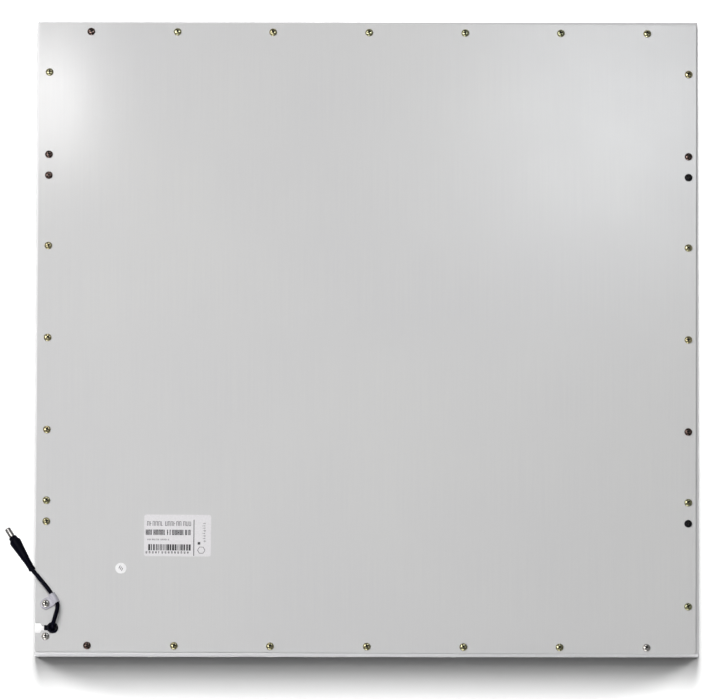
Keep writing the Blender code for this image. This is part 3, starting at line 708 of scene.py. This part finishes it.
def make_label():
    paper = make_paper("label_paper", (0.645, 0.635, 0.655))
    ink = moulded("label_ink", (0.02, 0.02, 0.025), 0.5, 2500.0, 0.01, 0.3)
    grey_ink = moulded("label_grey_ink", (0.16, 0.155, 0.17), 0.5, 2500.0, 0.01, 0.3)
    low = PLATE_TOP + 0.03
    face = low + 0.12
    half_x, half_y = LABEL_SIZE[0] / 2, LABEL_SIZE[1] / 2
    corners = [(-half_x, -half_y), (half_x, -half_y), (half_x, half_y), (-half_x, half_y)]
    matrix = on_plate() @ Matrix.Translation(LABEL_CENTRE) @ Matrix.Rotation(LABEL_TURN, 4, "Z")
    sheet = prism(filleted(corners, 2.4, 8, closed=True), low, face)
    label = to_object(sheet, "label_sheet", paper, radians(30), matrix)
    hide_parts("rating_label")
    random = Random(11)
    layer = (face + 0.005, face + 0.025)
    dark, grey = bmesh.new(), bmesh.new()
    for tint, *measures in PRINT_ROWS:
        stroke_row(dark if tint == "dark" else grey, random, *measures, *layer)
    x = -26.3
    while x < 11.5:
        width = random.choice((0.5, 0.9, 0.9, 1.5, 1.9))
        box_mesh(dark, x + width / 2, -11.2, width, 5.8, *layer)
        x += width + random.choice((0.45, 0.6, 1.0))
    box_mesh(dark, 14.6, -2.0, 0.7, 33.8, *layer)
    y = -6.2
    while y < 12.5:
        length = random.uniform(1.0, 2.2)
        box_mesh(grey, 23.8 + random.uniform(-0.6, 0.6), y + length / 2, 2.4, 0.4, *layer)
        box_mesh(grey, 24.4, y + length / 2, 0.4, length, *layer)
        y += length + 0.9
    box_mesh(dark, 19.2, -7.2, 2.4, 2.4, *layer)
    to_object(dark, "label_print_black", ink, radians(30), matrix)
    to_object(grey, "label_print_grey", grey_ink, radians(30), matrix)
    hexagon = turned([(3.1, layer[0]), (3.6, layer[0]), (3.6, layer[1]), (3.1, layer[1])], 6)
    bmesh.ops.translate(hexagon, vec=(21.3, -13.6, 0.0), verts=hexagon.verts)
    to_object(hexagon, "label_outline_mark", ink, radians(30), matrix)
    spot = Matrix.Translation(on_plate() @ STICKER_CENTRE)
    section = [(0.0, low), (STICKER_RADIUS, low), (STICKER_RADIUS, face), (0.0, face)]
    disc = turned(filleted(section, 0.04), 64)
    white = make_paper("sticker_paper", (0.76, 0.76, 0.77))
    sticker = to_object(disc, "sticker_disc", white, radians(30), spot)
    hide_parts("round_sticker")
    mark = bmesh.new()
    for step in range(3):
        box_mesh(mark, -1.5 + 1.5 * step, 0.5 - 0.5 * step, 0.7, 3.0, *layer)
    askew = spot @ Matrix.Rotation(radians(-25), 4, "Z")
    to_object(mark, "sticker_mark", grey_ink, radians(30), askew)


# ---------------------------------------------------------------- frame

def frame_paint(name):
    return coated(name, (0.6, 0.6, 0.61), 0.4, 0.08, 0.015)


def frame_paint_with_painted_light_at_slot():
    """The frame's paint with a painted pool of light: lighter in a round patch under the plate's open
    slot.
    """
    nodes = frame_paint("frame_paint_with_painted_light_at_slot")
    distance = nodes.add("ShaderNodeVectorMath", operation="DISTANCE")
    nodes.link(nodes.coords, distance.inputs[0])
    middle = on_plate() @ GROMMET + Vector((-12.0, 0.0, PLATE_TOP))
    distance.inputs[1].default_value = middle * MM
    past_painted_light = nodes.ranged(distance.outputs["Value"], 0.0, 1.0, 0.0068, 0.0074)
    base = nodes.shader.inputs["Base Color"].links[0].from_socket
    # Painted light: inside the patch the base colour turns light grey, and outside it stays the
    # frame's paint.
    nodes.colour(nodes.blend(past_painted_light, (0.85, 0.85, 0.85), base))
    return nodes


def make_frame():
    """Four mitred lengths of the hollow extrusion, edges rounded, the plate bedded on top."""
    paint = frame_paint("frame_paint")
    outer, channel, inner, roof = WALLS
    slot_paint_with_painted_light = frame_paint_with_painted_light_at_slot()
    lip, floor = BEZEL
    top = PLATE_TOP - PLATE_THICK - PLATE_BED
    outside = [(0.0, 0.0), (lip, 0.0), (lip, floor), (inner, floor), (inner, top), (0.0, top)]
    hollow = [(outer, floor), (channel, floor), (channel, top - roof), (outer, top - roof)]
    section = filleted(outside, FRAME_ROUND, 3, closed=True)
    turns = {"west": 0.0, "south": pi / 2, "east": pi, "north": -pi / 2}
    made = []
    for side, turn in turns.items():
        bm = prism(section, -1.0, 1.0, [hollow])
        for vert in bm.verts:
            inward, up, along = vert.co
            short = max(inward, 2 * FRAME_ROUND - inward) + 0.05
            vert.co = (inward - HALF_SIDE, along * (HALF_SIDE - short), up)
        if side == "west":
            passage = turned(((0.0, 5.4), (5.2, 5.4), (5.2, 12.0), (0.0, 12.0)), 48)
            spot = on_plate() @ GROMMET
            bmesh.ops.translate(passage, vec=spot, verts=passage.verts)
            bm = sculpt(solid(bm, "side_blank"), (("DIFFERENCE", solid(passage, "passage")),))
        rotation = Matrix.Rotation(turn, 4, "Z")
        # The west length carries the painted pool of light under the slot.
        finish = slot_paint_with_painted_light if side == "west" else paint
        piece = to_object(bm, "frame_extrusion_" + side, finish, radians(35), rotation)
        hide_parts("frame_side_" + side)
        made.append(piece)
    return made


# ---------------------------------------------------------------- CAD nodes that stay

def dress_cad_nodes():
    paint_nodes(["back_plate"], rolled_sheet_paint())
    paint_nodes(["diffuser"], coated("opal_sheet", (0.86, 0.86, 0.85), 0.5, 0.02, 0.01))
    paint_nodes(["reflector"], coated("reflector_sheet", (0.9, 0.9, 0.9), 0.35, 0.02, 0.01))
    paint_nodes(["foam_pad"], moulded("pad_foam", (0.7, 0.7, 0.68), 0.9, 900.0, 0.3, 0.08))
    paint_nodes(["led_bar_west", "led_bar_east"], coated("board_mask", (0.82, 0.82, 0.8), 0.35))
    keys = ["corner_key_" + place for place in ("sw", "se", "ne", "nw")]
    paint_nodes(keys, plated("key_steel", (0.5, 0.5, 0.5), (0.38, 0.38, 0.39), 0.4))
    paint_nodes(["link_wire"], moulded("white_insulation", (0.75, 0.75, 0.73), 0.4))
    paint_nodes(["inner_lead"], moulded("red_insulation", (0.45, 0.03, 0.02), 0.4))
    acrylic = moulded("clear_acrylic", (0.9, 0.93, 0.93), 0.08, 600.0, 0.01, 0.02)
    acrylic.fix(Transmission_Weight=0.9, IOR=1.49)
    paint_nodes(["light_guide"], acrylic)


# ---------------------------------------------------------------- stage, light and camera

def softbox(name, place, aim, size, watts, colour=WHITE, diffuse=True):
    """A rectangular lamp that the camera doesn't see; diffuse=False leaves only its reflection."""
    data = bpy.data.lights.new(name, "AREA")
    data.shape = "RECTANGLE"
    data.size, data.size_y = size
    data.energy = watts
    data.color = colour
    lamp = bpy.data.objects.new(name, data)
    bpy.context.scene.collection.objects.link(lamp)
    lamp.location = place
    lamp.rotation_euler = (Vector(aim) - Vector(place)).to_track_quat("-Z", "Y").to_euler()
    lamp.visible_camera = False
    lamp.visible_diffuse = diffuse
    return lamp


def lamp_place(round_from_back, above_floor):
    """A spot at the lamp distance, from two angles in degrees."""
    turn, rise = radians(round_from_back), radians(above_floor)
    return LAMP_DISTANCE * Vector((sin(turn) * cos(rise), cos(turn) * cos(rise), sin(rise)))


def light_only(lamps, name, lit, shading):
    """Light linking: these lamps light one set of objects, and another set casts their shadows."""
    receivers = bpy.data.collections.new(name + "_lit")
    blockers = bpy.data.collections.new(name + "_shading")
    for thing in lit:
        receivers.objects.link(thing)
    for thing in shading:
        blockers.objects.link(thing)
    for lamp in lamps:
        lamp.light_linking.receiver_collection = receivers
        lamp.light_linking.blocker_collection = blockers


def make_floor():
    """A pale floor that turns into plain white away from the panel, and is seen from above only."""
    nodes = Nodes("pale_floor")
    drift = nodes.ranged(nodes.noise(3.0, 2.0), 0.0, 1.0)
    pale = nodes.blend(drift, shade(FLOOR_GREY, 0.99), shade(FLOOR_GREY, 1.01))
    reach = nodes.add("ShaderNodeVectorMath", operation="LENGTH")
    nodes.link(nodes.coords, reach.inputs[0])
    fade = nodes.ranged(reach.outputs["Value"], 0.0, 1.0, *FLOOR_FADE)
    darken = nodes.ranged(fade, 1.0, 0.0, 0.0, 1.0)
    nodes.colour(nodes.blend(darken, (0.0, 0.0, 0.0), pale))
    nodes.fix(Roughness=0.9, Specular_IOR_Level=0.0, Emission_Color=(1.0, 1.0, 1.0, 1.0))
    glow = nodes.add("ShaderNodeMath", operation="MULTIPLY")
    nodes.link(fade, glow.inputs[0])
    nodes.link(nodes.add("ShaderNodeLightPath").outputs["Is Camera Ray"], glow.inputs[1])
    nodes.link(glow.outputs["Value"], nodes.shader.inputs["Emission Strength"])
    one_way = nodes.add("ShaderNodeMixShader")
    nodes.link(nodes.add("ShaderNodeNewGeometry").outputs["Backfacing"], one_way.inputs[0])
    nodes.link(nodes.shader.outputs[0], one_way.inputs[1])
    nodes.link(nodes.add("ShaderNodeBsdfTransparent").outputs[0], one_way.inputs[2])
    nodes.link(one_way.outputs[0], nodes.tree.nodes["Material Output"].inputs["Surface"])
    bm = bmesh.new()
    bmesh.ops.create_circle(bm, cap_ends=True, segments=96, radius=FLOOR_RADIUS)
    mesh = bpy.data.meshes.new("floor")
    bm.to_mesh(mesh)
    bm.free()
    mesh.materials.append(nodes.material)
    floor = bpy.data.objects.new("floor", mesh)
    bpy.context.scene.collection.objects.link(floor)
    floor.location.z = -FLOOR_DROP
    return floor


def make_room():
    """A dim, even room that the camera sees as plain white."""
    world = bpy.data.worlds.new("studio")
    world.use_nodes = True
    backdrop = world.node_tree.nodes["Background"]
    backdrop.inputs["Color"].default_value = (1.0, 1.0, 1.0, 1.0)
    path = world.node_tree.nodes.new("ShaderNodeLightPath")
    level = world.node_tree.nodes.new("ShaderNodeMapRange")
    level.inputs["To Min"].default_value = ROOM_LIGHT
    level.inputs["To Max"].default_value = 1.0
    world.node_tree.links.new(path.outputs["Is Camera Ray"], level.inputs["Value"])
    world.node_tree.links.new(level.outputs["Result"], backdrop.inputs["Strength"])
    bpy.context.scene.world = world
    bpy.context.scene.view_settings.view_transform = "Standard"


def make_lights(floor, walls):
    """An arc of lamps for the floor alone, and softboxes for the panel alone."""
    sweep = []
    for low, high, brightness in SWEEP_STEPS:
        height = LAMP_DISTANCE * radians(high - low)
        place = Vector(SWEEP_AIM) + lamp_place(0.0, (low + high) / 2)
        watts = brightness * pi * SWEEP_WIDTH * height
        sweep.append(softbox("sweep", place, SWEEP_AIM, (SWEEP_WIDTH, height), watts))
    for hand in (-1, 1):
        place = lamp_place(hand * SIDE_SWEEP[0], SIDE_SWEEP[1])
        sweep.append(softbox("side_sweep", place, CENTRE, SIDE_SWEEP_SIZE, SIDE_SWEEP_WATTS))
    light_only(sweep, "sweep", [floor], walls)
    panel = [thing for thing in bpy.data.objects if thing.type in {"MESH", "CURVE"}]
    panel.remove(floor)
    boxes = [
        softbox("balance", (1.3, -0.4, 2.1), CENTRE, (1.5, 1.5), 5.0, COOL),
        softbox(
            "corner_gleam", (-0.29, 0.304, 0.26), (-0.29, 0.222, 0.01), (0.05, 0.1), 0.43, WARM, False
        ),
        softbox(
            "side_gleam", (0.24, 0.46, 0.8), (0.24, 0.22, 0.01), (0.22, 0.2), 2.3, COOL, False
        ),
        softbox("under", (0.0, 0.0, -2.0), CENTRE, (0.5, 0.5), 24.0),
    ]
    light_only(boxes, "panel", panel, panel)
    plate = frame["nodes"]["back_plate"]
    all_but_plate = [thing for thing in panel if thing is not plate]
    details = [
        softbox("key", (-1.2, 0.5, 2.05), CENTRE, (1.5, 1.5), 60.0, WARM),
        softbox("front_fill", (-0.6, -2.35, 0.5), CENTRE, (1.6, 0.6), 46.0),
    ]
    light_only(details, "details", all_but_plate, panel)
    matt = [
        softbox("plate_left", (-1.2, 0.4, 2.05), CENTRE, (1.5, 1.5), 32.5, WARM),
        softbox("plate_top", (-0.35, 0.1, 2.2), CENTRE, (1.5, 1.5), 27.5),
    ]
    for lamp in matt:
        lamp.visible_glossy = False
    light_only(matt, "plate", [plate], panel)


def make_camera():
    """A long lens from far away, so parallel edges stay nearly parallel."""
    data = bpy.data.cameras.new("camera")
    data.sensor_width = 36.0
    data.lens = CAMERA_LENS
    data.clip_end = 100.0
    camera = bpy.data.objects.new("camera", data)
    bpy.context.scene.collection.objects.link(camera)
    back = Vector((0.0, -sin(CAMERA_TILT), cos(CAMERA_TILT)))
    camera.location = CAMERA_AIM + back * CAMERA_DISTANCE
    turn = Matrix.Rotation(CAMERA_TILT, 3, "X") @ Matrix.Rotation(CAMERA_ROLL, 3, "Z")
    camera.rotation_euler = turn.to_euler()
    bpy.context.scene.camera = camera


make_camera()
make_lead(make_plug(black_moulding("plug_moulding", 0.45)))
make_grommet(black_moulding("grommet_rubber", 0.2, 0.07))
make_clip()
make_screws()
make_label()
dress_cad_nodes()
make_room()
floor = make_floor()
make_lights(floor, make_frame() + [frame["nodes"]["back_plate"]])
